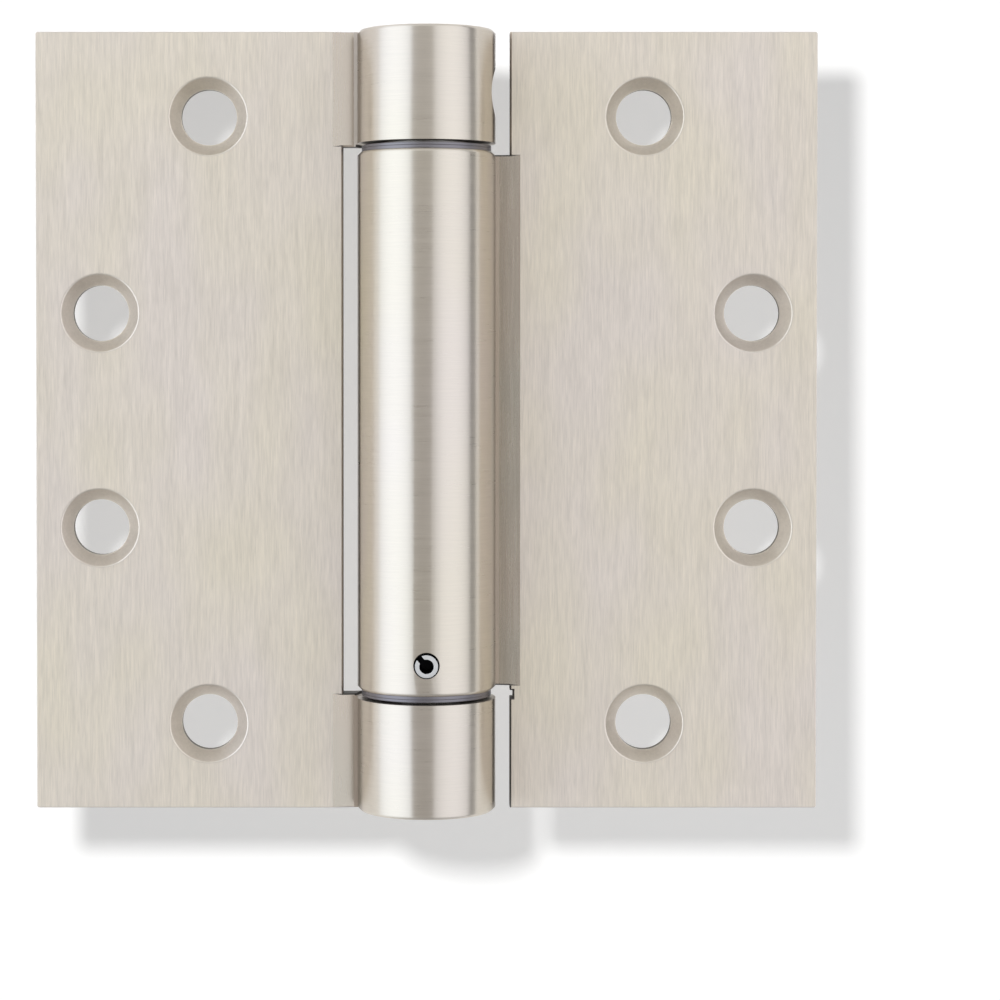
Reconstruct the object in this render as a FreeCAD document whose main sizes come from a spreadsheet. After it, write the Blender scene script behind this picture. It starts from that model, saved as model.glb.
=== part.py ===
import FreeCAD, Part
import math
import os
import re

import Sketcher

# Spring loaded door hinge, opened flat. The pin axis is Z, the screw heads face -Y,
# the frame leaf lies along -X and the door leaf along +X. All sizes are in millimetres.

# Driving sizes: name, value, meaning
SIZES = [
    ("leaf_height", 114.3, "height of both leaves and of the barrel"),
    ("open_width", 115.0, "width over both leaves when flat"),
    ("sheet_gauge", 3.4, "thickness of the leaf sheet"),
    ("closed_gap", 1.6, "gap between the leaf faces when closed"),
    ("barrel_radius", 10.15, "outer radius of the rolled knuckles"),
    ("leaf_clearance", 2.15, "gap from the barrel to the opposite leaf's edge"),
    ("outer_length", 16.5, "length of each of the frame leaf's two knuckles"),
    ("knuckle_gap", 1.25, "gap between knuckles, filled by the washers"),
    ("facing_step", 0.35, "frame knuckles are faced back this far from the leaf's cutout"),
    ("tab_step", 0.3, "door leaf's tab stops this short of its knuckle's ends"),
    ("swage_depth", 0.5, "step of the front face where a leaf enters its knuckle"),
    ("swage_start", 3.65, "distance from the barrel to the start of the swage"),
    ("swage_end", 0.55, "distance from the barrel to the end of the swage"),
    ("seam_gap", 0.25, "slit where the curled end meets its leaf"),
    ("back_fillet", 3.0, "inner bend between a leaf's back and its knuckle"),
    ("corner_radius", 0.35, "radius of the leaves' outer corners"),
    ("rim_chamfer", 0.5, "chamfer on the barrel's two outer ends"),
    ("knuckle_chamfer", 0.55, "chamfer on the middle knuckle's ends"),
    ("mouth_chamfer", 0.35, "chamfer round the barrel's two mouths"),
    ("screw_radius", 4.1, "radius of the screw holes"),
    ("head_radius", 5.73, "outer radius of the countersinks"),
    ("head_angle", 82, "included angle of the countersinks"),
    ("inner_inset", 25.4, "leaf edge to the pair of holes nearer the barrel"),
    ("inner_spacing", 89.46, "distance between the holes of that pair"),
    ("outer_inset", 9.4, "leaf edge to the pair of holes nearer that edge"),
    ("outer_spacing", 31.64, "distance between the holes of that pair"),
    ("relief_depth", 0.45, "depth of the small relief in the door leaf's inner edge"),
    ("relief_height", 1.15, "height of that relief"),
    ("relief_drop", 0.7, "distance of the relief below the tab"),
    ("window_radius", 3.65, "radius of the tensioning window"),
    ("window_drop", 9.15, "window centre below the barrel's top"),
    ("running_gap", 0.05, "radial clearance of the turning fits"),
    ("thrust_gap", 0.05, "play between a shoulder and the washers"),
    ("cap_depth", 1.75, "top of the tension adjuster below the barrel's top"),
    ("nose_gap", 0.4, "gap between a slotted nose and the spring round it"),
    ("nose_length", 3.8, "length of the slotted noses"),
    ("hex_size", 5.0, "hexagon socket across its flats"),
    ("hex_depth", 5.0, "depth of the hexagon socket"),
    ("pin_radius", 1.8, "radius of the adjuster's radial pin holes"),
    ("pin_depth", 2.8, "depth of the radial pin holes"),
    ("pin_count", 6, "number of radial pin holes"),
    ("ring_thickness", 1.0, "thickness of the snap ring"),
    ("ring_depth", 0.55, "depth of its groove in the barrel's bore"),
    ("ring_width", 1.5, "radial width of the snap ring"),
    ("ring_gap", 3.6, "opening between the snap ring's ends"),
    ("bush_length", 10.0, "length of the upper bush"),
    ("bush_wall", 1.5, "wall of the upper bush"),
    ("washer_inset", 0.65, "rims of all four washers inside the barrel's surface"),
    ("washer_play", 0.3, "radial gap between the spindle and the washers"),
    ("thrust_washer", 0.5, "thickness of the thrust washers"),
    ("shim_washer", 0.4, "thickness of the shim washers"),
    ("anchor_length", 11.2, "length of the spring anchor without its nose"),
    ("anchor_inset", 0.1, "anchor's lower face inside the middle knuckle's end"),
    ("anchor_wall", 3.1, "wall of the spring anchor round the stub"),
    ("stub_length", 7.0, "length of the stub above the pintle's collar"),
    ("stub_gap", 0.4, "space above the stub in the anchor's bore"),
    ("collar_gap", 0.15, "radial gap between the pintle's collar and the washers"),
    ("pintle_inset", 0.4, "pintle's lower face inside the barrel's bottom"),
    ("roll_radius", 1.7, "outer radius of the roll pin"),
    ("roll_wall", 0.68, "wall of the roll pin"),
    ("roll_slot", 0.8, "width of the roll pin's slot"),
    ("roll_angle", 130, "angle of that slot from +X, seen from the front"),
    ("roll_end_gap", 0.65, "roll pin's inner end outside the stub's bore"),
    ("roll_inset", 0.25, "roll pin's outer end below the knuckle's surface"),
    ("roll_hole", 1.9, "radius of the roll pin's hole in the knuckle"),
    ("roll_rise", 4.5, "centre of that hole above the middle knuckle's lower end"),
    ("roll_drop", 0.15, "roll pin's centre below the centre of that hole"),
    ("wire_width", 1.8, "radial width of the spring's flat wire"),
    ("wire_height", 2.4, "axial height of the spring's flat wire"),
    ("coil_gap", 0.45, "gap between the coil and the bore"),
    ("coil_end_gap", 0.3, "gap between the coil and the shoulders at its ends"),
    ("coil_turns", 12, "turns of the spring"),
    ("coil_steps", 12, "straight steps in each turn"),
    ("tang_gap", 0.1, "gap on each side of a spring tang in its slot"),
]
ALIASES = {alias for alias, value, meaning in SIZES}

# Places and sizes worked out from the driving ones
BORE = "(barrel_radius - sheet_gauge)"
LEAF_END = "(leaf_height / 2)"
LEAF_EDGE = "(open_width / 2)"
FRONT = "(closed_gap / 2)"
BACK = "(closed_gap / 2 + sheet_gauge)"
SWAGED = "(closed_gap / 2 + swage_depth)"
OUTER_START = "(leaf_height / 2 - outer_length)"
MIDDLE_END = "(leaf_height / 2 - outer_length - knuckle_gap)"
CUTOUT_END = f"({OUTER_START} - facing_step)"
TAB_END = f"({MIDDLE_END} - tab_step)"
LEAF_INNER = "(barrel_radius + leaf_clearance)"
SWAGE_EDGE = "(barrel_radius + swage_start)"
STACK_END = f"({MIDDLE_END} + thrust_washer + shim_washer)"
HEAD_FACE = f"({LEAF_END} - cap_depth)"
SHOULDER = f"({STACK_END} + thrust_gap)"
HEAD = f"({BORE} - running_gap)"
SPINDLE = f"({BORE} - bush_wall - running_gap)"
SPINDLE_END = f"({MIDDLE_END} - bush_length - coil_end_gap)"
NOSE = f"({BORE} - coil_gap - wire_width - nose_gap)"
WASHER_RIM = "(barrel_radius - washer_inset)"
WASHER_BORE = f"({SPINDLE} + washer_play)"
GROOVE = f"({BORE} + ring_depth)"
ANCHOR_BASE = f"(anchor_inset - {MIDDLE_END})"
ANCHOR_TOP = f"({ANCHOR_BASE} + anchor_length)"
STUB_BORE = f"({BORE} - anchor_wall)"
STUB = f"({STUB_BORE} - running_gap)"
COLLAR_TOP = f"({ANCHOR_BASE} - thrust_gap)"
ROLL_HOLE_Z = f"(roll_rise - {MIDDLE_END})"
ROLL_Z = f"({ROLL_HOLE_Z} - roll_drop)"
ROLL_FACE = "(barrel_radius - roll_inset)"
ROLL_LENGTH = f"({ROLL_FACE} - {STUB_BORE} - roll_end_gap)"
SLOT_WIDTH = "(wire_width + 2 * tang_gap)"
COIL_TOP = f"({SPINDLE_END} - coil_end_gap)"
COIL_BASE = f"({ANCHOR_TOP} + coil_end_gap)"
OVERLAP = "0.05"
EDGE_TOLERANCE = 0.01

doc = FreeCAD.newDocument("SpringHinge")
sheet = doc.addObject("Spreadsheet::Sheet", "Sizes")
for row, (alias, value, meaning) in enumerate(SIZES, start=1):
    sheet.set(f"A{row}", meaning)
    sheet.set(f"B{row}", str(value))
    sheet.setAlias(f"B{row}", alias)
doc.recompute()


# Helpers that bind sizes to the sheet


def formula(text):
    """The expression with each size name pointed at its cell."""
    return re.sub(r"[a-z_]+", lambda word: f"Sizes.{word[0]}" if word[0] in ALIASES else word[0], text)


def bind(item, prop, text):
    item.setExpression(prop, formula(text))


def negative(text):
    return f"-({text})"


def new_body(label):
    body = doc.addObject("PartDesign::Body", label)
    body.Label = label
    return body


def new_sketch(body, name, role, offset="0"):
    """Sketch on one of the body's own origin planes, moved along the plane's normal."""
    plane = next(item for item in body.Origin.OriginFeatures if item.Role == role)
    sketch = body.newObject("Sketcher::SketchObject", f"{body.Label}_{name}_sketch")
    sketch.AttachmentSupport = [(plane, "")]
    sketch.MapMode = "FlatFace"
    bind(sketch, "AttachmentOffset.Base.z", offset)
    return sketch


def place_point(sketch, geometry, position, x, y):
    """Hold one point of a sketch at the coordinates that two expressions give."""
    for kind, text in (("DistanceX", x), ("DistanceY", y)):
        index = sketch.addConstraint(Sketcher.Constraint(kind, -1, 1, geometry, position, 1.0))
        bind(sketch, f"Constraints[{index}]", text)


def add_outline(sketch, corners):
    """Closed outline of straight lines through corners, each a pair of expressions."""
    count = len(corners)
    turn = 2 * math.pi / count
    start = [FreeCAD.Vector(math.cos(turn * i), math.sin(turn * i), 0) for i in range(count)]
    lines = [
        sketch.addGeometry(Part.LineSegment(start[i], start[(i + 1) % count])) for i in range(count)
    ]
    for i, line in enumerate(lines):
        sketch.addConstraint(Sketcher.Constraint("Coincident", line, 2, lines[(i + 1) % count], 1))
    for line, (x, y) in zip(lines, corners):
        place_point(sketch, line, 1, x, y)


def add_circle(sketch, x, y, radius):
    circle = sketch.addGeometry(Part.Circle(FreeCAD.Vector(0, 0, 0), FreeCAD.Vector(0, 0, 1), 1))
    place_point(sketch, circle, 3, x, y)
    index = sketch.addConstraint(Sketcher.Constraint("Radius", circle, 1.0))
    bind(sketch, f"Constraints[{index}]", radius)


def rectangle(x_low, x_high, y_low, y_high):
    return [(x_low, y_low), (x_high, y_low), (x_high, y_high), (x_low, y_high)]


def add_feature(body, kind, name, sketch, length=None, reverse=False):
    feature = body.newObject(f"PartDesign::{kind}", f"{body.Label}_{name}")
    feature.Profile = sketch
    feature.Reversed = reverse
    if length is not None:
        bind(feature, "Length", length)
    sketch.Visibility = False
    return feature


def pad(body, name, sketch, length, reverse=False):
    return add_feature(body, "Pad", name, sketch, length, reverse)


def cut_by(body, feature):
    """Recompute and make sure that the feature really removed material."""
    doc.recompute()
    before = feature.BaseFeature.Shape.Volume
    if feature.Shape.Volume >= before:
        raise RuntimeError(f"{feature.Name} cuts nothing")
    return feature


def pocket(body, name, sketch, length, reverse=False):
    return cut_by(body, add_feature(body, "Pocket", name, sketch, length, reverse))


def turn_profile(body, name, corners):
    """Solid of revolution about Z. Corners are (radius, height) pairs of expressions."""
    sketch = new_sketch(body, name, "XZ_Plane")
    add_outline(sketch, corners)
    feature = add_feature(body, "Revolution", name, sketch)
    feature.ReferenceAxis = (sketch, ["V_Axis"])
    feature.Angle = 360
    return feature


def groove(body, name, outlines):
    """Cut turned about Z. Each outline is a list of (radius, height) pairs."""
    sketch = new_sketch(body, name, "XZ_Plane")
    for corners in outlines:
        add_outline(sketch, corners)
    feature = add_feature(body, "Groove", name, sketch)
    feature.ReferenceAxis = (sketch, ["V_Axis"])
    feature.Angle = 360
    return cut_by(body, feature)


def outer_chamfer(radius, end, size, inward):
    """Triangle that chamfers an outer edge. Inward is + or -, the way to the material."""
    return [
        (f"{radius} - {size}", end),
        (f"{radius} + {OVERLAP}", end),
        (f"{radius} + {OVERLAP}", f"{end} {inward} ({size} + {OVERLAP})"),
    ]


def bore_chamfer(radius, end, size, inward):
    """Triangle that chamfers the edge of a bore."""
    return [
        (f"{radius} + {size}", end),
        (f"{radius} - {OVERLAP}", end),
        (f"{radius} - {OVERLAP}", f"{end} {inward} ({size} + {OVERLAP})"),
    ]


# The two leaves


def add_plate(body, side, outline):
    """Flat plate of a leaf. The outline is drawn on the XZ plane for the +X side."""
    sketch = new_sketch(body, "plate", "XZ_Plane", negative(BACK))
    add_outline(sketch, [(f"{side} * {x}", z) for x, z in outline])
    pad(body, "plate", sketch, "sheet_gauge")


def round_edges(body, name, chosen, radius):
    """Round the edges of the body so far that a test picks."""
    doc.recompute()
    base = body.Tip
    edges = [f"Edge{number}" for number, edge in enumerate(base.Shape.Edges, start=1) if chosen(edge)]
    if not edges:
        raise RuntimeError(f"{body.Label} has no edge for its {name}")
    fillet = body.newObject("PartDesign::Fillet", f"{body.Label}_{name}")
    fillet.Base = (base, edges)
    bind(fillet, "Radius", radius)
    doc.recompute()


def add_web(body, name, side, low, high):
    """Swaged strip that carries the plate into a knuckle, from one height to another."""
    sketch = new_sketch(body, name, "XY_Plane", low)
    corners = [
        (SWAGE_EDGE, FRONT),
        ("(barrel_radius + swage_end)", SWAGED),
        (BORE, SWAGED),
        (BORE, BACK),
        (SWAGE_EDGE, BACK),
    ]
    add_outline(sketch, [(f"{side} * {x}", y) for x, y in corners])
    pad(body, name, sketch, f"{high} - {low}")


def add_knuckle(body, name, low, high):
    sketch = new_sketch(body, name, "XY_Plane", low)
    add_circle(sketch, "0", "0", "barrel_radius")
    pad(body, name, sketch, f"{high} - {low}")


def add_bends(body):
    """Round the inner bend between the leaf's back and each of its knuckles."""
    radius, back = sheet.get("barrel_radius"), sheet.get("closed_gap") / 2 + sheet.get("sheet_gauge")
    reach = math.sqrt(radius**2 - back**2)

    def chosen(edge):
        box = edge.BoundBox
        upright = box.XLength < EDGE_TOLERANCE and box.YLength < EDGE_TOLERANCE
        away = max(abs(abs(box.Center.x) - reach), abs(box.Center.y - back))
        return upright and away < EDGE_TOLERANCE

    round_edges(body, "bends", chosen, "back_fillet")


def round_corners(body):
    """Round the leaf's two corners away from the barrel."""
    width, height = sheet.get("open_width") / 2, sheet.get("leaf_height") / 2

    def chosen(edge):
        box = edge.BoundBox
        through = box.XLength < EDGE_TOLERANCE and box.ZLength < EDGE_TOLERANCE
        away = max(abs(abs(box.Center.x) - width), abs(abs(box.Center.z) - height))
        return through and away < EDGE_TOLERANCE

    round_edges(body, "corners", chosen, "corner_radius")


def cut_bore_and_seam(body, side):
    sketch = new_sketch(body, "bore", "XY_Plane", negative(LEAF_END))
    add_circle(sketch, "0", "0", BORE)
    pocket(body, "bore", sketch, "leaf_height", reverse=True)
    sketch = new_sketch(body, "seam", "XY_Plane", negative(LEAF_END))
    low, high = f"{BORE} - seam_gap", "barrel_radius + seam_gap"
    corners = rectangle(low, high, f"{SWAGED} - seam_gap", SWAGED)
    add_outline(sketch, [(f"{side} * ({x})", y) for x, y in corners])
    pocket(body, "seam", sketch, "leaf_height", reverse=True)


def cut_screw_holes(body, side):
    """Four countersunk holes, two pairs set one above the other, from the front face."""
    sketch = new_sketch(body, "screws", "XZ_Plane", negative(FRONT))
    for inset, spacing in (("inner_inset", "inner_spacing"), ("outer_inset", "outer_spacing")):
        for end in ("", "-"):
            add_circle(sketch, f"{side} * ({LEAF_EDGE} - {inset})", f"{end}{spacing} / 2", "screw_radius")
    doc.recompute()
    hole = add_feature(body, "Hole", "screws", sketch)
    hole.ThreadType = "None"
    hole.DepthType = "ThroughAll"
    bind(hole, "Diameter", "2 * screw_radius")
    hole.HoleCutType = "Countersink"
    hole.HoleCutCustomValues = True
    bind(hole, "HoleCutDiameter", "2 * head_radius")
    bind(hole, "HoleCutCountersinkAngle", "head_angle")
    cut_by(body, hole)


def make_frame_leaf():
    """Left leaf with the top and bottom knuckles, the window and the ring groove."""
    body, side = new_body("frame_leaf"), "-1"
    add_plate(
        body,
        side,
        [
            (LEAF_EDGE, negative(LEAF_END)),
            (LEAF_EDGE, LEAF_END),
            (SWAGE_EDGE, LEAF_END),
            (SWAGE_EDGE, CUTOUT_END),
            (LEAF_INNER, CUTOUT_END),
            (LEAF_INNER, negative(CUTOUT_END)),
            (SWAGE_EDGE, negative(CUTOUT_END)),
            (SWAGE_EDGE, negative(LEAF_END)),
        ],
    )
    for name, low, high in (
        ("top", CUTOUT_END, LEAF_END),
        ("bottom", negative(LEAF_END), negative(CUTOUT_END)),
    ):
        add_web(body, f"{name}_web", side, low, high)
        add_knuckle(body, f"{name}_knuckle", low, high)
    add_bends(body)
    round_corners(body)
    cut_bore_and_seam(body, side)

    for name, low in (("upper_facing", CUTOUT_END), ("lower_facing", negative(OUTER_START))):
        sketch = new_sketch(body, name, "XY_Plane", low)
        add_circle(sketch, "0", "0", "barrel_radius + facing_step")
        pocket(body, name, sketch, "facing_step", reverse=True)

    groove_low = f"{HEAD_FACE} + thrust_gap"
    groove_high = f"{groove_low} + ring_thickness + {OVERLAP}"
    groove(
        body,
        "turned",
        [
            outer_chamfer("barrel_radius", LEAF_END, "rim_chamfer", "-"),
            outer_chamfer("barrel_radius", negative(LEAF_END), "rim_chamfer", "+"),
            bore_chamfer(BORE, LEAF_END, "mouth_chamfer", "-"),
            bore_chamfer(BORE, negative(LEAF_END), "mouth_chamfer", "+"),
            rectangle(f"{BORE} - {OVERLAP}", GROOVE, groove_low, groove_high),
        ],
    )

    sketch = new_sketch(body, "window", "YZ_Plane")
    add_circle(sketch, "0", f"{LEAF_END} - window_drop", "window_radius")
    pocket(body, "window", sketch, "barrel_radius", reverse=True)
    cut_screw_holes(body, side)
    return body


def make_door_leaf():
    """Right leaf with the long middle knuckle and the roll pin's hole."""
    body, side = new_body("door_leaf"), "1"
    relief_top = f"({TAB_END} + relief_drop)"
    relief_end = f"({relief_top} + relief_height)"
    add_plate(
        body,
        side,
        [
            (LEAF_EDGE, negative(LEAF_END)),
            (LEAF_EDGE, LEAF_END),
            (LEAF_INNER, LEAF_END),
            (LEAF_INNER, TAB_END),
            (SWAGE_EDGE, TAB_END),
            (SWAGE_EDGE, negative(TAB_END)),
            (LEAF_INNER, negative(TAB_END)),
            (LEAF_INNER, negative(relief_top)),
            (f"({LEAF_INNER} + relief_depth)", negative(relief_top)),
            (f"({LEAF_INNER} + relief_depth)", negative(relief_end)),
            (LEAF_INNER, negative(relief_end)),
            (LEAF_INNER, negative(LEAF_END)),
        ],
    )
    add_web(body, "web", side, negative(TAB_END), TAB_END)
    add_knuckle(body, "knuckle", negative(MIDDLE_END), MIDDLE_END)
    add_bends(body)
    round_corners(body)
    cut_bore_and_seam(body, side)
    groove(
        body,
        "turned",
        [
            outer_chamfer("barrel_radius", MIDDLE_END, "knuckle_chamfer", "-"),
            outer_chamfer("barrel_radius", negative(MIDDLE_END), "knuckle_chamfer", "+"),
        ],
    )
    sketch = new_sketch(body, "roll_hole", "XZ_Plane")
    add_circle(sketch, "0", ROLL_HOLE_Z, "roll_hole")
    pocket(body, "roll_hole", sketch, "barrel_radius", reverse=True)
    cut_screw_holes(body, side)
    return body


# The pieces inside the barrel


def cut_tang_slot(body, name, low, high):
    """Slot across a nose, along X, that takes the spring's tang."""
    sketch = new_sketch(body, name, "XY_Plane", low)
    reach = f"({NOSE} + tang_gap)"
    half = f"({SLOT_WIDTH} / 2)"
    add_outline(sketch, rectangle(negative(reach), reach, negative(half), half))
    pocket(body, name, sketch, f"{high} - {low}", reverse=True)


def make_tension_adjuster():
    """Turned plug: drilled head in the top knuckle, spindle in the bush, slotted nose."""
    body = new_body("tension_adjuster")
    nose_end = f"({SPINDLE_END} - nose_length)"
    turn_profile(
        body,
        "turned",
        [
            ("0", HEAD_FACE),
            ("0", nose_end),
            (NOSE, nose_end),
            (NOSE, SPINDLE_END),
            (SPINDLE, SPINDLE_END),
            (SPINDLE, SHOULDER),
            (HEAD, SHOULDER),
            (HEAD, HEAD_FACE),
        ],
    )
    sketch = new_sketch(body, "hex", "XY_Plane", HEAD_FACE)
    corner = "hex_size / (2 * cos(30))"
    add_outline(sketch, [(f"{corner} * cos({60 * i})", f"{corner} * sin({60 * i})") for i in range(6)])
    pocket(body, "hex", sketch, "hex_depth")

    sketch = new_sketch(body, "pin_hole", "YZ_Plane", f"{HEAD} - pin_depth")
    add_circle(sketch, "0", f"{LEAF_END} - window_drop", "pin_radius")
    hole = pocket(body, "pin_hole", sketch, "pin_depth + pin_radius", reverse=True)
    pattern = body.newObject("PartDesign::PolarPattern", "tension_adjuster_pin_holes")
    pattern.Originals = [hole]
    pattern.Axis = (next(item for item in body.Origin.OriginFeatures if item.Role == "Z_Axis"), [""])
    pattern.Angle = 360
    bind(pattern, "Occurrences", "pin_count")
    body.Tip = pattern
    cut_tang_slot(body, "tang_slot", nose_end, SPINDLE_END)
    return body


def make_retaining_ring():
    """Snap ring in the groove above the adjuster, open at the front."""
    body = new_body("retaining_ring")
    base = f"{HEAD_FACE} + thrust_gap"
    outer = f"({GROOVE} - {OVERLAP})"
    sketch = new_sketch(body, "ring", "XY_Plane", base)
    add_circle(sketch, "0", "0", outer)
    add_circle(sketch, "0", "0", f"{outer} - ring_width")
    pad(body, "ring", sketch, "ring_thickness")
    sketch = new_sketch(body, "gap", "XY_Plane", base)
    add_outline(sketch, rectangle("-ring_gap / 2", "ring_gap / 2", f"-{outer} - {OVERLAP}", "0"))
    pocket(body, "gap", sketch, "ring_thickness", reverse=True)
    return body


def make_ring(label, outer, inner, thickness, base):
    """Plain washer or sleeve round the pin axis."""
    body = new_body(label)
    sketch = new_sketch(body, "ring", "XY_Plane")
    add_circle(sketch, "0", "0", outer)
    add_circle(sketch, "0", "0", inner)
    pad(body, "ring", sketch, thickness)
    bind(body, "Placement.Base.z", base)
    return body


def make_washers(label, size, distance):
    """Two like washers, one beyond each end of the middle knuckle, kept as one group."""
    upper = make_ring(f"upper_{label}", WASHER_RIM, WASHER_BORE, size, distance)
    lower_base = negative(f"{distance} + {size}")
    lower = make_ring(f"lower_{label}", WASHER_RIM, WASHER_BORE, size, lower_base)
    pair = doc.addObject("Part::Compound", f"{label}s")
    pair.Label = f"{label}s"
    pair.Links = [upper, lower]
    return pair


def make_upper_bush():
    """Sleeve pressed in the top of the middle knuckle, round the adjuster's spindle."""
    base = f"{MIDDLE_END} - bush_length"
    return make_ring("upper_bush", BORE, f"{BORE} - bush_wall", "bush_length", base)


def make_spring_anchor():
    """Plug pinned in the middle knuckle: bored below for the stub, slotted nose above."""
    body = new_body("spring_anchor")
    nose_end = f"({ANCHOR_TOP} + nose_length)"
    bore_end = f"({COLLAR_TOP} + stub_length + stub_gap)"
    turn_profile(
        body,
        "turned",
        [
            ("0", bore_end),
            (STUB_BORE, bore_end),
            (STUB_BORE, ANCHOR_BASE),
            (BORE, ANCHOR_BASE),
            (BORE, ANCHOR_TOP),
            (NOSE, ANCHOR_TOP),
            (NOSE, nose_end),
            ("0", nose_end),
        ],
    )
    cut_tang_slot(body, "tang_slot", ANCHOR_TOP, nose_end)
    sketch = new_sketch(body, "roll_hole", "XZ_Plane", f"{ROLL_FACE} - {ROLL_LENGTH}")
    add_circle(sketch, "0", ROLL_Z, "roll_radius")
    pocket(body, "roll_hole", sketch, ROLL_LENGTH, reverse=True)
    return body


def make_roll_pin():
    """Rolled spring pin, slotted along its length, driven in from the front."""
    body = new_body("roll_pin")
    inner = "(roll_radius - roll_wall)"
    sketch = new_sketch(body, "tube", "XZ_Plane")
    add_circle(sketch, "0", "0", "roll_radius")
    add_circle(sketch, "0", "0", inner)
    pad(body, "tube", sketch, ROLL_LENGTH)
    sketch = new_sketch(body, "slot", "XZ_Plane")
    along, across = ("cos(roll_angle)", "sin(roll_angle)"), ("-sin(roll_angle)", "cos(roll_angle)")
    corners = rectangle(f"{inner} / 2", "roll_radius + roll_wall", "-roll_slot / 2", "roll_slot / 2")
    add_outline(
        sketch,
        [tuple(f"({out}) * {along[k]} + ({aside}) * {across[k]}" for k in (0, 1)) for out, aside in corners],
    )
    pocket(body, "slot", sketch, ROLL_LENGTH, reverse=True)
    bind(body, "Placement.Base.y", f"{ROLL_LENGTH} - {ROLL_FACE}")
    bind(body, "Placement.Base.z", ROLL_Z)
    return body


def make_lower_pintle():
    """Turned plug pressed in the bottom knuckle: its stub carries the middle knuckle."""
    body = new_body("lower_pintle")
    base = f"(pintle_inset - {LEAF_END})"
    stub_top = f"({COLLAR_TOP} + stub_length)"
    collar = f"{WASHER_BORE} - collar_gap"
    turn_profile(
        body,
        "turned",
        [
            ("0", base),
            (BORE, base),
            (BORE, negative(SHOULDER)),
            (collar, negative(SHOULDER)),
            (collar, COLLAR_TOP),
            (STUB, COLLAR_TOP),
            (STUB, stub_top),
            ("0", stub_top),
        ],
    )
    return body


def make_torsion_spring():
    """Left-hand coil of flat wire, each end bent inwards across the axis as a tang."""
    spring = doc.addObject("Part::Feature", "torsion_spring")
    spring.Label = "torsion_spring"
    for name, text in (
        ("CoilRadius", f"{BORE} - coil_gap"),
        ("CoilBase", COIL_BASE),
        ("CoilTop", COIL_TOP),
        ("TangReach", NOSE),
    ):
        spring.addProperty("App::PropertyFloat", name, "Coil")
        bind(spring, name, text)
    doc.recompute()
    outer, base, top, reach = spring.CoilRadius, spring.CoilBase, spring.CoilTop, spring.TangReach
    width, height = sheet.get("wire_width"), sheet.get("wire_height")
    turns, steps = int(sheet.get("coil_turns")), int(sheet.get("coil_steps"))
    pitch = (top - base - height) / turns

    def section(step):
        angle = -2 * math.pi * step / steps
        rise = base + pitch * step / steps
        corners = ((outer - width, 0), (outer, 0), (outer, height), (outer - width, height))
        return [
            FreeCAD.Vector(radius * math.cos(angle), radius * math.sin(angle), rise + up)
            for radius, up in corners
        ]

    def face(*points):
        return Part.Face(Part.makePolygon([*points, points[0]]))

    sections = [section(step) for step in range(turns * steps + 1)]
    faces = [face(*reversed(sections[0])), face(*sections[-1])]
    for near, far in zip(sections, sections[1:]):
        for a, b in ((0, 1), (1, 2), (2, 3), (3, 0)):
            faces.append(face(near[a], near[b], far[b]))
            faces.append(face(near[a], far[b], far[a]))
    shell = Part.makeShell(faces)
    shell.sewShape()
    coil = Part.makeSolid(shell)
    for tang_base in (base, top - height):
        corner = FreeCAD.Vector(-reach, -width / 2, tang_base)
        coil = coil.fuse(Part.makeBox(reach + outer - width / 2, width, height, corner))
    spring.Shape = coil
    spring.Placement = FreeCAD.Placement()
    return spring


# Build, check and export


def failed(item):
    return any(state in ("Invalid", "Error") for state in item.State)


pieces = [
    make_frame_leaf(),
    make_door_leaf(),
    make_tension_adjuster(),
    make_retaining_ring(),
    make_upper_bush(),
    make_washers("thrust_washer", "thrust_washer", MIDDLE_END),
    make_washers("shim_washer", "shim_washer", f"({MIDDLE_END} + thrust_washer)"),
    make_spring_anchor(),
    make_roll_pin(),
    make_lower_pintle(),
    make_torsion_spring(),
]
doc.recompute()
for item in doc.Objects:
    if failed(item):
        raise RuntimeError(f"{item.Name} failed: {item.State}")
for piece in pieces:
    solids = 2 if piece.TypeId == "Part::Compound" else 1
    if piece.Shape.isNull() or not piece.Shape.isValid() or len(piece.Shape.Solids) != solids:
        raise RuntimeError(f"{piece.Label} is not {solids} valid solids")
os.makedirs("parts", exist_ok=True)
for piece in pieces:
    piece.Shape.exportStep(f"parts/{piece.Label}.step")
    print(piece.Label, round(piece.Shape.Volume, 2))
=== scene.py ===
import math

import bmesh
import bpy
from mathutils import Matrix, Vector


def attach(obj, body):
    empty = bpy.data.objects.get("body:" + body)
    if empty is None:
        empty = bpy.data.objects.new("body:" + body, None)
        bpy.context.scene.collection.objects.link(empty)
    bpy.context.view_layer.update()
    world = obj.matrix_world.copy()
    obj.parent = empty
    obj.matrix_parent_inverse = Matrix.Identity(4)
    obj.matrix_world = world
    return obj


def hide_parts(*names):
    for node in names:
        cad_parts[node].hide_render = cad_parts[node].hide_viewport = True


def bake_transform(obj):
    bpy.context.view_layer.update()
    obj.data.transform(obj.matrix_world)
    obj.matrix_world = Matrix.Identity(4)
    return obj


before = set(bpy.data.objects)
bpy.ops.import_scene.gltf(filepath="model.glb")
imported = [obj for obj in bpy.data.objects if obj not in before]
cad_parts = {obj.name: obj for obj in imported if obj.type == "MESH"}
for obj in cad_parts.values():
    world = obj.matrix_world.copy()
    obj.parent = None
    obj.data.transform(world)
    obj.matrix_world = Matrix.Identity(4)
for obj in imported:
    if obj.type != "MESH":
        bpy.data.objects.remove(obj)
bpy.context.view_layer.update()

# Sizes of the solids, in metres
MM = 0.001
BARREL = 10.15 * MM
BORE = 6.75 * MM
LEAF_FRONT = 0.8 * MM
LEAF_BACK = 4.2 * MM
LEAF_TOP = 57.15 * MM
SWAGE_EDGE = BARREL + 3.65 * MM
HOLES = [(32.1 * MM, 44.73 * MM), (48.1 * MM, 15.82 * MM)]
HEAD = 5.73 * MM
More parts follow.
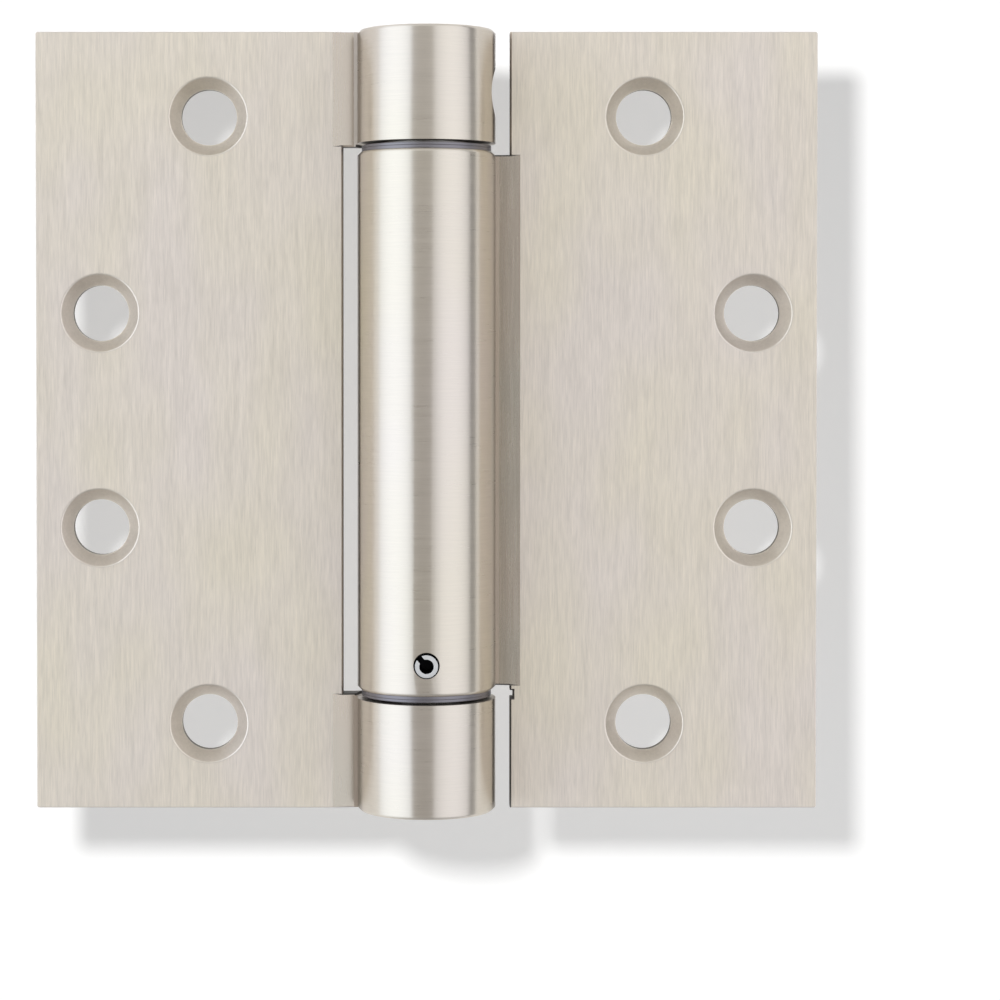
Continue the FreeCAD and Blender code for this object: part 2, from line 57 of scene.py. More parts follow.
THROAT = 4.1 * MM
SINK_DEPTH = 1.88 * MM
PIN_HEIGHT = -34.9 * MM
PIN_HOLE = 1.9 * MM

# Widths of the eased edges and rims
EASE = 0.12 * MM
WASHER_EASE = 0.05 * MM
THIN_EASE = 0.08 * MM
PINTLE_EASE = 0.15 * MM
SINK_RIM = 0.18 * MM
SLOT_RIM = 0.22 * MM


# Node helpers

# Colour sockets of the mix node, which share their names with its sockets for numbers
MIX_FIRST, MIX_SECOND, MIX_RESULT = 6, 7, 2


def node_of(tree, kind, **inputs):
    """A node with its plain input values; spaces in a socket's name are written as underscores."""
    node = tree.nodes.new(kind)
    for name, value in inputs.items():
        node.inputs[name.replace("_", " ")].default_value = value
    return node


def math_node(tree, operation, first, second=None, third=None, clamp=False):
    """Math node on sockets or numbers."""
    node = tree.nodes.new("ShaderNodeMath")
    node.operation = operation
    node.use_clamp = clamp
    for socket, value in zip(node.inputs, (first, second, third)):
        if value is None:
            continue
        if isinstance(value, (int, float)):
            socket.default_value = value
        else:
            tree.links.new(value, socket)
    return node.outputs[0]


def mixed_colour(tree, factor, first, second):
    """Colour between two, each a colour or a socket."""
    node = tree.nodes.new("ShaderNodeMix")
    node.data_type = "RGBA"
    sockets = (node.inputs["Factor"], node.inputs[MIX_FIRST], node.inputs[MIX_SECOND])
    for socket, value in zip(sockets, (factor, first, second)):
        if isinstance(value, bpy.types.NodeSocket):
            tree.links.new(value, socket)
        else:
            socket.default_value = value
    return node.outputs[MIX_RESULT]


def grain(tree, coordinates, scale, detail):
    """Noise stretched along the axes whose scale is low. The scales are features per metre."""
    mapping = tree.nodes.new("ShaderNodeMapping")
    mapping.inputs["Scale"].default_value = scale
    tree.links.new(coordinates, mapping.inputs["Vector"])
    noise = node_of(tree, "ShaderNodeTexNoise", Scale=1.0, Detail=detail, Roughness=0.5)
    tree.links.new(mapping.outputs[0], noise.inputs["Vector"])
    return noise.outputs["Fac"]


# What all metals share: the mix and detail of their streaks, their patches and their relief
FINE_SHARE = 0.65
BROADER = 5
FINE_DETAIL = 3.0
BROAD_DETAIL = 2.0
PATCH_DETAIL = 1.5
PATCH_CONTRAST = 3.2
MIDDLE = 0.5
STREAK_SPAN = 0.25
RELIEF = 0.02 * MM


def metal(name, warm, cool, roughness, streak, scale, spread=0.05, rim=1.0,
          anisotropy=0.0, along=None, bump=0.0, patch=70.0):
    """Brushed or turned metal. Streaks vary its roughness, brightness and height.

    The colour drifts between warm and cool in large patches. Streak is how strongly the
    streaks vary the brightness, and spread how far they take the roughness. Along is the
    axis, in the piece's own frame, in which the gloss is drawn out, which is across the
    brushing. Rim is the share of light that the metal keeps where it is seen at a flat angle."""
    material = bpy.data.materials.new(name)
    material.use_nodes = True
    tree = material.node_tree
    shader = tree.nodes["Principled BSDF"]
    shader.inputs["Metallic"].default_value = 1.0
    shader.inputs["Anisotropic"].default_value = anisotropy
    shader.inputs["Specular Tint"].default_value = (rim, rim, rim, 1.0)
    place = tree.nodes.new("ShaderNodeTexCoord").outputs["Object"]

    fine = grain(tree, place, scale, FINE_DETAIL)
    broad = grain(tree, place, tuple(value / BROADER for value in scale), BROAD_DETAIL)
    fine_part = math_node(tree, "MULTIPLY", fine, FINE_SHARE)
    broad_part = math_node(tree, "MULTIPLY", broad, 1 - FINE_SHARE)
    both = math_node(tree, "ADD", fine_part, broad_part)
    centred = math_node(tree, "SUBTRACT", both, MIDDLE)

    patches = grain(tree, place, (patch, patch, patch / 2), PATCH_DETAIL)
    drift = math_node(tree, "SUBTRACT", patches, MIDDLE)
    contrast = math_node(tree, "MULTIPLY_ADD", drift, PATCH_CONTRAST, MIDDLE, clamp=True)
    colour = mixed_colour(tree, contrast, (*warm, 1.0), (*cool, 1.0))
    level = math_node(tree, "MULTIPLY_ADD", centred, streak, 1.0)
    shade = tree.nodes.new("ShaderNodeVectorMath")
    shade.operation = "SCALE"
    tree.links.new(colour, shade.inputs[0])
    tree.links.new(level, shade.inputs["Scale"])
    tree.links.new(shade.outputs[0], shader.inputs["Base Color"])

    rough = math_node(tree, "MULTIPLY_ADD", centred, spread / STREAK_SPAN, roughness)
    tree.links.new(rough, shader.inputs["Roughness"])
    if bump:
        relief = node_of(tree, "ShaderNodeBump", Strength=bump, Distance=RELIEF)
        tree.links.new(both, relief.inputs["Height"])
        tree.links.new(relief.outputs[0], shader.inputs["Normal"])
    if along:
        turn = tree.nodes.new("ShaderNodeVectorTransform")
        turn.vector_type = "VECTOR"
        turn.convert_from = "OBJECT"
        turn.convert_to = "WORLD"
        turn.inputs[0].default_value = along
        tree.links.new(turn.outputs[0], shader.inputs["Tangent"])
    return material


# Finishes

NICKEL = ((0.655, 0.608, 0.528), (0.650, 0.600, 0.548))
leaf_nickel = metal(
    "satin_nickel_leaf", (0.742, 0.677, 0.565), (0.733, 0.666, 0.598), roughness=0.50, streak=0.55,
    scale=(5600, 5600, 380), anisotropy=0.75, along=(1, 0, 0), bump=0.25, rim=0.8,
)
barrel_nickel = metal(
    "satin_nickel_barrel", *NICKEL, roughness=0.31, streak=0.24,
    scale=(260, 260, 5600), anisotropy=0.88, along=(0, 0, 1), bump=0.07, spread=0.06, rim=0.8,
)
faced_nickel = metal(
    "satin_nickel_faced", *NICKEL, roughness=0.38, streak=0.10,
    scale=(900, 900, 900), bump=0.1,
)
sink_nickel = metal(
    "satin_nickel_countersink", (0.70, 0.64, 0.55), (0.69, 0.63, 0.57), roughness=0.38, streak=0.30,
    scale=(2600, 2600, 2600), bump=0.08, spread=0.02,
)
edge_nickel = metal(
    "satin_nickel_edge", (0.70, 0.65, 0.58), (0.69, 0.64, 0.60), roughness=0.32, streak=0.08,
    scale=(900, 900, 300), spread=0.02,
)
bore_steel = metal(
    "bored_steel", (0.36, 0.34, 0.31), (0.33, 0.32, 0.31), roughness=0.45, streak=0.2,
    scale=(300, 300, 5200), bump=0.3,
)
swage_nickel = metal(
    "satin_nickel_swage", (0.60, 0.535, 0.458), (0.57, 0.53, 0.458), roughness=0.26, streak=0.25,
    scale=(2800, 2800, 110), anisotropy=0.3, along=(0, 0, 1), patch=110.0,
)
# Painted shade: a darker nickel for the thin dark lines where the curl meets the leaf and along the
# chamfers of the slots' higher uprights, in place of the shade there
shade_line_nickel = metal(
    "satin_nickel_painted_shade_line", (0.52, 0.44, 0.355), (0.50, 0.43, 0.36), roughness=0.38, streak=0.2,
    scale=(2800, 2800, 110),
)
# Painted shade: the slots' walls and the chamfers at their front are near black, in place of the shade
# inside the narrow slots
slot_wall_shade = metal(
    "slot_wall_painted_shade", (0.17, 0.16, 0.15), (0.14, 0.135, 0.13), roughness=0.55, streak=0.3,
    scale=(900, 900, 2600),
)
# Painted shade: the straight walls of the screw holes are dark, with little gloss at a flat angle, in place
# of the shade inside the holes
hole_wall_shade = metal(
    "screw_hole_wall_painted_shade", (0.34, 0.32, 0.28), (0.31, 0.29, 0.26), roughness=0.55, streak=0.3,
    scale=(2600, 2600, 2600), rim=0.4,
)
turned_steel = metal(
    "turned_steel", (0.52, 0.51, 0.49), (0.49, 0.49, 0.50), roughness=0.36, streak=0.18,
    scale=(500, 500, 5200), bump=0.3,
)
spring_steel = metal(
    "oiled_spring_steel", (0.17, 0.165, 0.16), (0.13, 0.135, 0.15), roughness=0.34, streak=0.25,
    scale=(900, 900, 900), bump=0.2,
)
bronze = metal(
    "sintered_bronze", (0.50, 0.31, 0.13), (0.42, 0.27, 0.13), roughness=0.5, streak=0.5,
    scale=(5000, 5000, 5000), bump=0.5,
)
washer_steel = metal(
    "washer_steel", (0.238, 0.229, 0.246), (0.203, 0.194, 0.22), roughness=0.38, streak=0.3,
    scale=(200, 200, 9000), bump=0.3,
)
zinc = metal(
    "zinc_plate", (0.68, 0.68, 0.67), (0.62, 0.64, 0.65), roughness=0.60, streak=0.2,
    scale=(1500, 1500, 1500), bump=0.15,
)
# Black oxide on the spring anchor; the same near-black is painted shade on the roll pin's walls and on the
# wall of its hole in the barrel
black_oxide_and_hole_shade = metal(
    "black_oxide_and_hole_shade", (0.030, 0.031, 0.034), (0.024, 0.025, 0.028), roughness=0.5, streak=0.3,
    scale=(1500, 1500, 1500),
)


# Pieces made from their nodes

LEAF_FINISHES = [
    leaf_nickel, barrel_nickel, faced_nickel, sink_nickel, edge_nickel, bore_steel,
    swage_nickel, slot_wall_shade, hole_wall_shade, black_oxide_and_hole_shade, shade_line_nickel,
]
(LEAF, TURNED, FACED, SINK, EDGE, BORED,
 SWAGE, SLOT_WALL, HOLE_WALL, PIN_WALL, SHADE_LINE) = range(len(LEAF_FINISHES))

# How far a face's centre may lie from the form that gives it its finish
CLOSE = 0.05 * MM
NEAR = 0.1 * MM
CURL_SKIN = 0.4 * MM
MARGIN = 0.5 * MM
BORE_SKIN = 0.7 * MM

# Cosines that tell which way a face looks
STRAIGHT = 0.99
LEANING = 0.95
ENDWAYS = 0.8
STEEP = 0.7
OUTWARD = 0.6
HALFWAY = 0.5
SIDEWAYS = 0.3

# Limits for vertices that are joined, faces taken as flat, edges taken as sharp or as too short for
# their bevel, and angles taken as the same
WELD = 0.001 * MM
FLAT_ANGLE = math.radians(1)
SHARP_ANGLE = math.radians(30)
SHORT_SHARE = 0.125
SAME_ANGLE = 1e-3
TINY = 1e-9


def near_hole(point):
    """Whether a point lies in the reach of a screw hole."""
    return any(math.hypot(abs(point.x) - x, abs(point.z) - z) < HEAD + NEAR for x, z in HOLES)


def leaf_finish(face):
    """Index in LEAF_FINISHES for a face of a leaf, by its place and the way it looks."""
    centre, normal = face.calc_center_median(), face.normal
    reach = math.hypot(centre.x, centre.y)
    outward = (normal.x * centre.x + normal.y * centre.y) / max(reach, TINY)
    behind_front = centre.y > LEAF_FRONT + CLOSE
    in_pin_hole = centre.y < 0 and math.hypot(centre.x, centre.z - PIN_HEIGHT) < PIN_HOLE + NEAR
    # The walls of the roll pin's hole take near-black painted shade
    if in_pin_hole and abs(normal.y) < HALFWAY:
        return PIN_WALL
    if reach < BORE + BORE_SKIN and outward < -HALFWAY:
        return BORED
    # The bottom of the seam between the curl and the leaf takes the seam's painted shade
    if normal.y < -STRAIGHT and behind_front and BARREL - MM < abs(centre.x) < SWAGE_EDGE:
        return SHADE_LINE
    if reach < BARREL + CLOSE:
        on_skin = outward > OUTWARD and reach > BARREL - CURL_SKIN
        return TURNED if on_skin and abs(normal.z) <= ENDWAYS else FACED
    # The screw holes' straight walls take the dark painted shade
    if near_hole(centre) and abs(normal.y) < SIDEWAYS:
        return HOLE_WALL
    if near_hole(centre) and abs(normal.y) < LEANING:
        return SINK
    # Walls inside the slots take the near-black painted shade; the outer edges take the edge finish
    if abs(normal.y) < STEEP:
        in_slot = abs(centre.x) < SWAGE_EDGE + NEAR and abs(centre.z) < LEAF_TOP - MARGIN
        return SLOT_WALL if in_slot else EDGE
    if normal.y < 0 and behind_front and abs(centre.x) < SWAGE_EDGE:
        return SWAGE
    return LEAF


def pin_finish(face):
    """The roll pin's ends have its first finish, and its walls the second, which is near-black painted
    shade.
    """
    return 0 if abs(face.normal.y) > STEEP else 1


def rounded(corner, before, after, reach):
    """Three points that round a corner of a profile, from a reach before it to a reach after it."""
    back, on = (before - corner).normalized(), (after - corner).normalized()
    half = (math.pi - back.angle(on)) / 2
    dip = reach / math.tan(half) * (1 / math.cos(half) - 1)
    return [corner + back * reach, corner + (back + on).normalized() * dip, corner + on * reach]


def strip(work, first, second, finish):
    """Faces between two rings of vertices, each with its angle, that may differ in number."""
    near, far = sorted(first, key=lambda item: item[0]), sorted(second, key=lambda item: item[0])
    near.append((near[0][0] + 2 * math.pi, near[0][1]))
    far.append((far[0][0] + 2 * math.pi, far[0][1]))
    i, j = 0, 0
    made = []
    while i < len(near) - 1 or j < len(far) - 1:
        ahead_near = near[i + 1][0] if i < len(near) - 1 else math.inf
        ahead_far = far[j + 1][0] if j < len(far) - 1 else math.inf
        if abs(ahead_near - ahead_far) < SAME_ANGLE:
            made.append(work.faces.new((near[i][1], near[i + 1][1], far[j + 1][1], far[j][1])))
            i, j = i + 1, j + 1
        elif ahead_near < ahead_far:
            made.append(work.faces.new((near[i][1], near[i + 1][1], far[j][1])))
            i += 1
        else:
            made.append(work.faces.new((near[i][1], far[j + 1][1], far[j][1])))
            j += 1
    for face in made:
        face.material_index = finish
        face.smooth = True


def from_hole(vertex, centre):
    """A vertex's place across the leaf, from a screw hole's centre."""
    return Vector((vertex.co.x, vertex.co.z)) - centre


def on_circle(centre, radius, angle):
    """The place across the leaf at an angle on a circle round a screw hole's centre."""
    return centre.x + radius * math.sin(angle), centre.y + radius * math.cos(angle)


def turned_sink(work, centre, profile):
    """Put even rings of faces down a screw hole, with the radii and depths of the profile."""
    walls = [
        face for face in work.faces
        if face.material_index in (SINK, HOLE_WALL)
        and all(from_hole(vertex, centre).length < HEAD + SINK_RIM for vertex in face.verts)
    ]
    bmesh.ops.delete(work, geom=walls, context="FACES")
    rims = [
        (math.atan2(*from_hole(vertex, centre)), vertex) for vertex in work.verts
        if vertex.is_boundary and from_hole(vertex, centre).length < HEAD + SINK_RIM
    ]
    ring = [(angle, vertex) for angle, vertex in rims if vertex.co.y < LEAF_FRONT + SINK_RIM]
    back = [(angle, vertex) for angle, vertex in rims if vertex.co.y > LEAF_FRONT + SINK_RIM]
    for angle, vertex in ring:
        vertex.co.x, vertex.co.z = on_circle(centre, profile[0].x, angle)
    for radius, depth in profile[1:]:
        following = []
        for angle, _ in ring:
            x, z = on_circle(centre, radius, angle)
            following.append((angle, work.verts.new((x, depth, z))))
        strip(work, ring, following, SINK)
        ring = following
    strip(work, ring, back, HOLE_WALL)


def turned_sinks(work):
    """Give each screw hole even rings of faces and rounded rims in place of the node's uneven faces."""
    side = math.copysign(1, sum(vertex.co.x for vertex in work.verts))
    outside = Vector((HEAD + MM, LEAF_FRONT))
    mouth = Vector((HEAD, LEAF_FRONT))
    throat = Vector((THROAT, LEAF_FRONT + SINK_DEPTH))
    back = Vector((THROAT, LEAF_BACK))
    profile = rounded(mouth, outside, throat, SINK_RIM) + rounded(throat, mouth, back, SINK_RIM)
    for x, z in HOLES:
        for sign in (1, -1):
            turned_sink(work, Vector((side * x, sign * z)), profile)
    bmesh.ops.recalc_face_normals(work, faces=work.faces)


def slot_rims(work):
    """A narrow chamfer along the front of the walls of a leaf's slots, in the slot walls' near-black
    painted shade, but in the seam's lighter painted shade on the higher uprights.
    """
    rims = []
    for rim in work.edges:
        wall = any(face.material_index == SLOT_WALL for face in rim.link_faces)
        front = any(
            face.material_index in (LEAF, SWAGE, SHADE_LINE) and face.normal.y < 0 for face in rim.link_faces
        )
        if wall and front and all(abs(vertex.co.x) < SWAGE_EDGE - MARGIN for vertex in rim.verts):
            rims.append(rim)
    made = bmesh.ops.bevel(
        work, geom=rims, offset=SLOT_RIM, offset_type="OFFSET", segments=1,
        affect="EDGES", material=SLOT_WALL,
    )
    for face in made["faces"]:
        face.smooth = True
        face.normal_update()
        # Upright chamfers above the roll pin take the seam's lighter painted shade
        if abs(face.normal.z) < HALFWAY and face.calc_center_median().z > PIN_HEIGHT:
            face.material_index = SHADE_LINE


def leaf_details(work):
    """A leaf's turned countersinks, the chamfers of its slots and the sharp outline of its swages."""
    turned_sinks(work)
    slot_rims(work)
    for rim in work.edges:
        finishes = {face.material_index for face in rim.link_faces}
        if SWAGE in finishes and len(finishes) > 1:
            rim.smooth = False


def finished(node, body, materials, choose=None, details=None,
             bevel=EASE, edge=None, keep=(), curved=None):
    """A piece with the node's form, joined faces and eased edges, which stands for the node.

    Choose gives a face's finish, and details makes what only this piece has. Edge is the
    finish of the eased edges. The sharp edges of the finishes in keep aren't eased. They
    stay sharp, except the shallower ones inside the curved finish, which are smoothed."""
    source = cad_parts[node]
    mesh = source.data.copy()
    mesh.name = f"{node}_finish"
    mesh.materials.clear()
    for material in materials:
        mesh.materials.append(material)
    for name in ("custom_normal", "sharp_face", "sharp_edge"):
        if name in mesh.attributes:
            mesh.attributes.remove(mesh.attributes[name])
    piece = bpy.data.objects.new(f"{node}_finish", mesh)
    bpy.context.scene.collection.objects.link(piece)
    work = bmesh.new()
    work.from_mesh(mesh)
    bmesh.ops.remove_doubles(work, verts=work.verts, dist=WELD)
    bmesh.ops.dissolve_limit(
        work, angle_limit=FLAT_ANGLE, use_dissolve_boundaries=False, verts=work.verts, edges=work.edges
    )
    work.normal_update()
    for face in work.faces:
        face.smooth = True
        face.material_index = choose(face) if choose else 0
    if details:
        details(work)
    eased = work.edges.layers.float.new("bevel_weight_edge")
    for rim in work.edges:
        if not rim.is_manifold or rim.calc_face_angle() < SHARP_ANGLE:
            continue
        finishes = [face.material_index for face in rim.link_faces]
        if rim.calc_length() < SHORT_SHARE * bevel or any(finish in keep for finish in finishes):
            rim.smooth = finishes == [curved, curved] and rim.calc_face_angle() < 2 * SHARP_ANGLE
        else:
            rim[eased] = 1.0
    work.to_mesh(mesh)
    work.free()
    ease = piece.modifiers.new("eased_edges", "BEVEL")
    ease.width = bevel
    ease.segments = 2
    ease.limit_method = "WEIGHT"
    ease.use_clamp_overlap = False
    ease.loop_slide = False
    if edge is not None:
        ease.material = edge
    smooth = piece.modifiers.new("flat_faces", "WEIGHTED_NORMAL")
    smooth.keep_sharp = True
    smooth.weight = 60
    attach(piece, body)
    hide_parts(node)


for node, body in (("frame_leaf", "frame_side"), ("door_leaf", "door_side")):
    finished(
        node, body, LEAF_FINISHES, leaf_finish, leaf_details, edge=EDGE,
        keep=(TURNED, FACED, BORED, SLOT_WALL, HOLE_WALL, PIN_WALL, SHADE_LINE), curved=TURNED,
    )
finished("thrust_washers", "door_side", [washer_steel], bevel=WASHER_EASE)
finished("shim_washers", "door_side", [washer_steel], bevel=WASHER_EASE)
# The roll pin's walls take near-black painted shade
finished("roll_pin", "door_side", [zinc, black_oxide_and_hole_shade], pin_finish, bevel=THIN_EASE)
finished("tension_adjuster", "adjuster", [turned_steel])
finished("retaining_ring", "frame_side", [spring_steel], bevel=THIN_EASE)
finished("lower_pintle", "frame_side", [turned_steel], bevel=PINTLE_EASE)

# Pieces that stay as their nodes are, with a finish of their own
for node, material in (("upper_bush", bronze), ("spring_anchor", black_oxide_and_hole_shade)):
    for mesh_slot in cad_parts[node].material_slots:
        mesh_slot.material = material


# Torsion spring

COIL_OUTER = 6.3 * MM
COIL_INNER = 4.5 * MM
COIL_BASE = -27.8 * MM
COIL_TOP = 28.8 * MM
COIL_TURNS = 12
TURN_STEPS = 48
WIRE_HEIGHT = 2.4 * MM
WIRE_CORNER = 0.3 * MM
CORNER_TURNS = (0, 45, 90)

# A tang runs straight across the middle and bends into the coil, in place of the steps at its end
TANG_LINE = (-4.1 * MM, 0.0, 3.4 * MM)
TANG_BEND = ((4.5 * MM, 0.12 * MM), (5.15 * MM, 0.55 * MM))
BEND_STEPS = 6


def tang(height, side):
    """A tang's points from its free end, with its bend on one side of the middle."""
    points = [(x, 0.0) for x in TANG_LINE] + [(x, side * y) for x, y in TANG_BEND]
    return [Vector((x, y, height)) for x, y in points]


def wire_section():
    """Points round the wire's section, as pairs across and up, with three to a rounded corner."""
    across, up = (COIL_OUTER - COIL_INNER) / 2 - WIRE_CORNER, WIRE_HEIGHT / 2 - WIRE_CORNER
    points = []
    for side, rise, start in ((1, 1, 0), (-1, 1, 90), (-1, -1, 180), (1, -1, 270)):
        for turn in CORNER_TURNS:
            angle = math.radians(start + turn)
            points.append((
                side * across + WIRE_CORNER * math.cos(angle),
                WIRE_HEIGHT / 2 + rise * up + WIRE_CORNER * math.sin(angle),
            ))
    return points


def spring_half(name, low, high):
    """Half of the left-hand coil, from one turn to another, with the tang of the end it holds.

    The edges along the wire are sharp, but for those in the middle of its rounded corners."""
    base = COIL_BASE
    pitch = (COIL_TOP - COIL_BASE - WIRE_HEIGHT) / COIL_TURNS
    middle = (COIL_OUTER + COIL_INNER) / 2
    first, last = low * TURN_STEPS, high * TURN_STEPS
    line = []
    if low == 0:
        first += BEND_STEPS
        line += tang(base, -1)
    if high == COIL_TURNS:
        last -= BEND_STEPS
    for step in range(first, last + 1):
        angle = -2 * math.pi * step / TURN_STEPS
        height = base + pitch * step / TURN_STEPS
        line.append(Vector((middle * math.cos(angle), middle * math.sin(angle), height)))
    if high == COIL_TURNS:
        line += reversed(tang(COIL_TOP - WIRE_HEIGHT, 1))
    section = wire_section()
    work = bmesh.new()
    rows = []
    for index, point in enumerate(line):
        run = line[min(index + 1, len(line) - 1)] - line[max(index - 1, 0)]
        run.z = 0
        side = run.normalized().cross(Vector((0, 0, 1)))
        rows.append([work.verts.new(point + side * across + Vector((0, 0, up))) for across, up in section])
    for near, far in zip(rows, rows[1:]):
        for i in range(len(section)):
            j = (i + 1) % len(section)
            work.faces.new((near[i], near[j], far[j], far[i]))
            work.edges.get((near[i], far[i])).smooth = i % len(CORNER_TURNS) == 1
    for row in (rows[0], rows[-1]):
        work.faces.new(row)
    bmesh.ops.recalc_face_normals(work, faces=work.faces)
    for face in work.faces:
        face.smooth = True
    mesh = bpy.data.meshes.new(name)
    work.to_mesh(mesh)
    work.free()
    mesh.materials.append(spring_steel)
    piece = bpy.data.objects.new(name, mesh)
    bpy.context.scene.collection.objects.link(piece)
    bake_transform(piece)
    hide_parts("torsion_spring")


spring_half("spring_lower_half", 0, COIL_TURNS // 2)
spring_half("spring_upper_half", COIL_TURNS // 2, COIL_TURNS)


# Backdrop, light and camera

# The photograph in pixels, with its scale at the leaves, the barrel's axis and the hinge's middle
IMAGE = 1000
SCALE = 6.793 / MM
AXIS_X, MIDDLE_Y = 426.5, 420.6

WALL = 40 * MM
DISTANCE = 400 * MM
EYE_X, EYE_Z = 0.0, 12 * MM
TILT = math.radians(1.0)
SENSOR = 36

# The shadow falls to the lower right at the object's own size, so its lamp is as far off as the camera
LAMP = Vector((EYE_X - 70 * MM, -DISTANCE, EYE_Z + 70 * MM))
LAMP_SIZE = 22 * MM

# What the wall returns of the lamp where it is nearest, the sky's light, the wall's own white, and the
# level at which the wall is seen
LAMP_SHARE = 0.515
SKY_SHARE = 0.15
WALL_WHITE = 0.5
WALL_LEVEL = 1.045
WALL_SIZE = 6.0
CARD_SIZE = 2.4


def seen_rays(tree):
    """1 for rays that show the background: from the camera, off gloss or through glass."""
    path = tree.nodes.new("ShaderNodeLightPath")
    found = math_node(tree, "ADD", path.outputs["Is Camera Ray"], path.outputs["Is Glossy Ray"])
    return math_node(tree, "ADD", found, path.outputs["Is Transmission Ray"], clamp=True)


def plane(name, width, height):
    """Upright rectangle about the origin, for the backdrop and the studio cards."""
    mesh = bpy.data.meshes.new(name)
    x, z = width / 2, height / 2
    mesh.from_pydata([(-x, 0, -z), (x, 0, -z), (x, 0, z), (-x, 0, z)], [], [(0, 1, 2, 3)])
    item = bpy.data.objects.new(name, mesh)
    bpy.context.scene.collection.objects.link(item)
    return item


def backdrop_material():
    """White wall that keeps the shadow and is open to the eye from behind.

    Its glow makes up for the lamp's fall-off, so it is white wherever the lamp reaches. The
    lamp's light falls off with the cube of the cosine at which it meets the wall."""
    material = bpy.data.materials.new("backdrop")
    material.use_nodes = True
    tree = material.node_tree
    tree.nodes.clear()
    diffuse = node_of(tree, "ShaderNodeBsdfDiffuse", Color=(WALL_WHITE, WALL_WHITE, WALL_WHITE, 1))
    glow = node_of(tree, "ShaderNodeEmission", Color=(1, 1, 1, 1))
    apart = tree.nodes.new("ShaderNodeVectorMath")
    apart.operation = "DISTANCE"
    tree.links.new(tree.nodes.new("ShaderNodeTexCoord").outputs["Object"], apart.inputs[0])
    apart.inputs[1].default_value = (LAMP.x, 0, LAMP.z)
    ratio = math_node(tree, "DIVIDE", apart.outputs["Value"], WALL - LAMP.y)
    spread = math_node(tree, "MULTIPLY_ADD", ratio, ratio, 1.0)
    fall_off = math_node(tree, "POWER", spread, 3 / 2)
    lamp_part = math_node(tree, "DIVIDE", LAMP_SHARE, fall_off)
    level = math_node(tree, "SUBTRACT", WALL_LEVEL - WALL_WHITE * SKY_SHARE, lamp_part)
    tree.links.new(math_node(tree, "MULTIPLY", seen_rays(tree), level), glow.inputs["Strength"])
    both = tree.nodes.new("ShaderNodeAddShader")
    tree.links.new(diffuse.outputs[0], both.inputs[0])
    tree.links.new(glow.outputs[0], both.inputs[1])
    clear = tree.nodes.new("ShaderNodeBsdfTransparent")
    sides = tree.nodes.new("ShaderNodeMixShader")
    tree.links.new(tree.nodes.new("ShaderNodeNewGeometry").outputs["Backfacing"], sides.inputs[0])
    tree.links.new(both.outputs[0], sides.inputs[1])
    tree.links.new(clear.outputs[0], sides.inputs[2])
    output = tree.nodes.new("ShaderNodeOutputMaterial")
    tree.links.new(sides.outputs[0], output.inputs["Surface"])
    return material


def glow_on(item, colour, level, fade, width):
    """Light a card, less by the fade's share towards its sides, and show it only in reflections."""
    material = bpy.data.materials.new(item.name)
    material.use_nodes = True
    tree = material.node_tree
    tree.nodes.clear()
    glow = node_of(tree, "ShaderNodeEmission", Color=(*colour, 1))
    place = tree.nodes.new("ShaderNodeSeparateXYZ")
    tree.links.new(tree.nodes.new("ShaderNodeTexCoord").outputs["Object"], place.inputs[0])
    aside = math_node(tree, "DIVIDE", place.outputs["X"], width / 2)
    loss = math_node(tree, "MULTIPLY", math_node(tree, "MULTIPLY", aside, aside), -fade * level)
    tree.links.new(math_node(tree, "ADD", loss, level), glow.inputs["Strength"])
    output = tree.nodes.new("ShaderNodeOutputMaterial")
    tree.links.new(glow.outputs[0], output.inputs["Surface"])
    item.data.materials.append(material)
    item.visible_camera = False
    item.visible_diffuse = False
    item.visible_shadow = False


def card(name, first, last, level, colour=(1, 1, 1), fade=0.0, height=CARD_SIZE, rise=0.0):
    """Studio card one metre off, seen only in reflections, between two azimuths in degrees.

    Azimuth 0 is the camera's side. Fade is how much of its level a card loses at its sides."""
    width = 2 * math.tan(math.radians(last - first) / 2)
    item = plane(name, width, height)
    angle = math.radians((first + last) / 2)
    item.location = (math.sin(angle), -math.cos(angle), rise)
    item.rotation_euler = (0, 0, angle)
    glow_on(item, colour, level, fade, width)


def level_card(name, height, level):
    """Square card that lies flat above or below the object, seen only in reflections."""
    item = plane(name, CARD_SIZE, CARD_SIZE)
    item.location = (0, -CARD_SIZE / 2, height)
    item.rotation_euler = (math.pi / 2, 0, 0)
    glow_on(item, (1, 1, 1), level, 0.0, CARD_SIZE)


wall = plane("backdrop", WALL_SIZE, WALL_SIZE)
wall.location = (0, WALL, 0)
wall.data.materials.append(backdrop_material())

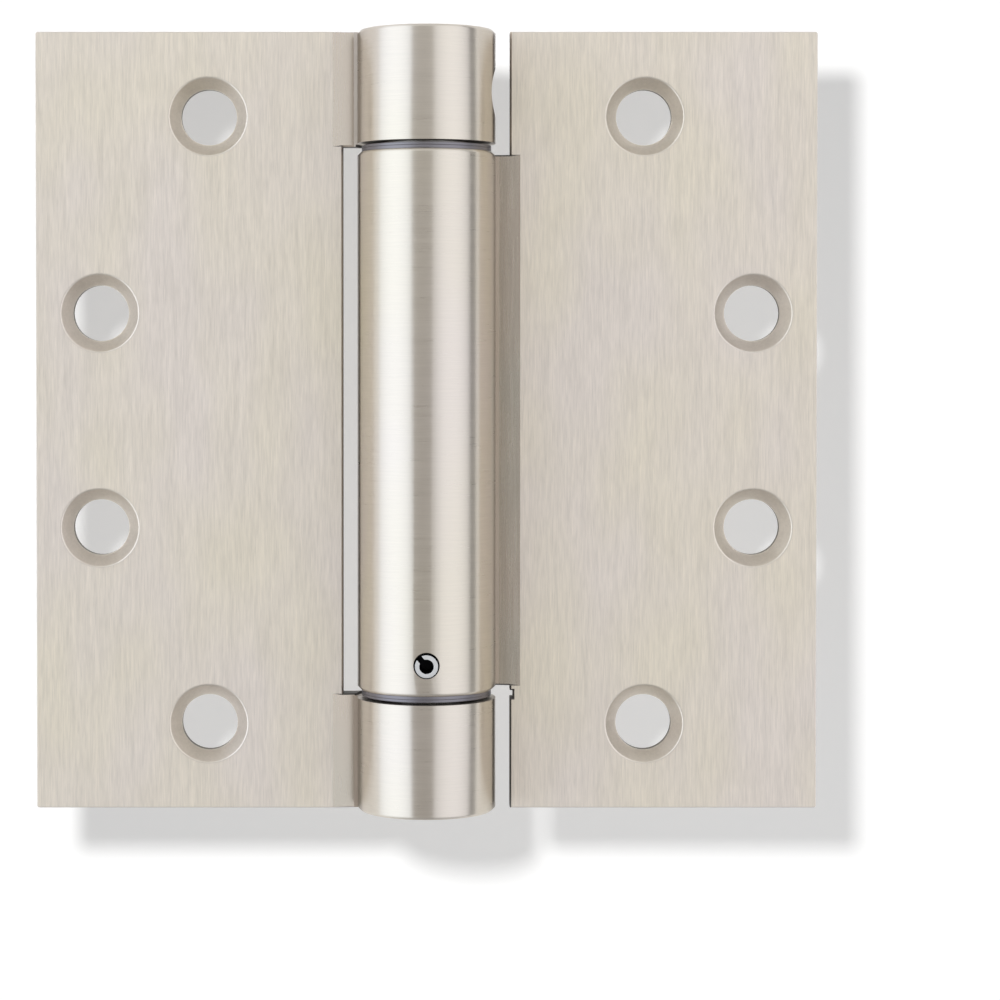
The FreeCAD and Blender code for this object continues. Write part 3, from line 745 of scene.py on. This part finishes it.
card("left_softbox", first=-86, last=-25, level=1.65, colour=(0.94, 1.0, 1.08), fade=0.2)
card("camera_side_card", first=-25, last=10.5, level=0.47, colour=(1.0, 0.96, 0.92), height=1.7, rise=-0.54)
card("right_card", first=12, last=77, level=1.33, colour=(0.99, 1.0, 1.04), fade=0.3, rise=0.5)
card("right_dark_card", first=77, last=90, level=0.33)
level_card("floor_card", height=-0.9, level=0.45)
level_card("ceiling_card", height=1.1, level=0.85)

# The lamp's power makes the wall return the lamp's share at the point straight before the lamp
bulb = bpy.data.lights.new("shadow_lamp", "POINT")
bulb.shadow_soft_size = LAMP_SIZE
bulb.energy = LAMP_SHARE / WALL_WHITE * 4 * math.pi ** 2 * (WALL - LAMP.y) ** 2
shadow_lamp = bpy.data.objects.new("shadow_lamp", bulb)
shadow_lamp.location = LAMP
shadow_lamp.visible_glossy = False
bpy.context.scene.collection.objects.link(shadow_lamp)

# The world is white where it is seen, in reflections too, and lights the wall with the sky's share
world = bpy.data.worlds.new("studio")
bpy.context.scene.world = world
world.use_nodes = True
tree = world.node_tree
tree.nodes.clear()
light = node_of(tree, "ShaderNodeBackground", Color=(1, 1, 1, 1))
seen = seen_rays(tree)
tree.links.new(math_node(tree, "MULTIPLY_ADD", seen, 1 - SKY_SHARE, SKY_SHARE), light.inputs["Strength"])
output = tree.nodes.new("ShaderNodeOutputWorld")
tree.links.new(light.outputs[0], output.inputs["Surface"])

# The camera looks down a little, and the shift is what is left of the photograph's crop
FOCAL = SCALE * (DISTANCE + LEAF_FRONT)
drop = math.tan(math.atan(-EYE_Z / (DISTANCE + LEAF_FRONT)) + TILT) * FOCAL
camera = bpy.data.cameras.new("camera")
camera.sensor_width = SENSOR
camera.lens = FOCAL * SENSOR / IMAGE
camera.shift_x = (IMAGE / 2 - (AXIS_X + EYE_X * SCALE)) / IMAGE
camera.shift_y = (MIDDLE_Y + drop - IMAGE / 2) / IMAGE
eye = bpy.data.objects.new("camera", camera)
eye.location = (EYE_X, -DISTANCE, EYE_Z)
eye.rotation_euler = (math.pi / 2 - TILT, 0, 0)
bpy.context.scene.collection.objects.link(eye)
bpy.context.scene.camera = eye
bpy.context.scene.view_settings.view_transform = "Standard"
